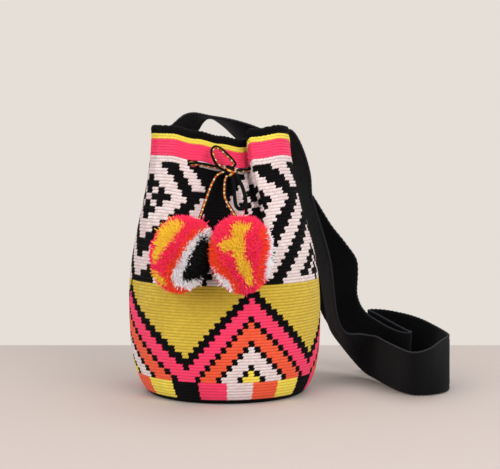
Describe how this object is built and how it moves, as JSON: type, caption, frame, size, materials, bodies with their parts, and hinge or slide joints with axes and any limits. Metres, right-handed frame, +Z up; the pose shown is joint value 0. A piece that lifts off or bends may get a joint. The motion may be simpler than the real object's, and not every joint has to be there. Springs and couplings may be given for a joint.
{
  "type": "crocheted bucket bag",
  "caption": "Crocheted bucket bag with a round base, a drawn mouth tied in a bow, hanging pompoms and a broad woven shoulder strap that arches over the mouth and lies down beside it.",
  "frame": {"origin": "centre of the flat base, on the surface that the bag stands on", "axes": "+Z up through the mouth, -Y to the front with the bow and the pompoms, +X to the side on which the strap lies"},
  "size_m": [0.3368, 0.2687, 0.2898],
  "materials": {
    "bag_crochet": "crocheted cotton in yellow, pink, orange, white and black figures",
    "strap_weave": "black ribbed weave",
    "cord_braid": "black braid with coloured flecks",
    "left_pompom_yarn": "loose yarn, mostly pink",
    "right_pompom_yarn": "loose yarn, mostly orange red"
  },
  "bodies": {
    "bag": {"bag_body": "bag_crochet", "strap": "strap_weave", "drawstring": "cord_braid", "bow_knot": "cord_braid", "bow_loop_upper": "cord_braid", "bow_loop_lower": "cord_braid"},
    "left_hanging": {"left_tail": "cord_braid", "left_pompom": "left_pompom_yarn"},
    "right_hanging": {"right_tail": "cord_braid", "right_pompom": "right_pompom_yarn"}
  },
  "joints": [
    {"name": "left_pompom_swing", "type": "hinge", "parent": "bag", "child": "left_hanging", "pos_m": [0.0073, -0.0578, 0.2272], "axis": [-0.7659, 0.6429, 0], "range_deg": [0, 45]},
    {"name": "right_pompom_swing", "type": "hinge", "parent": "bag", "child": "right_hanging", "pos_m": [0.0073, -0.0578, 0.2272], "axis": [-0.7659, -0.6429, 0], "range_deg": [0, 45]}
  ]
}
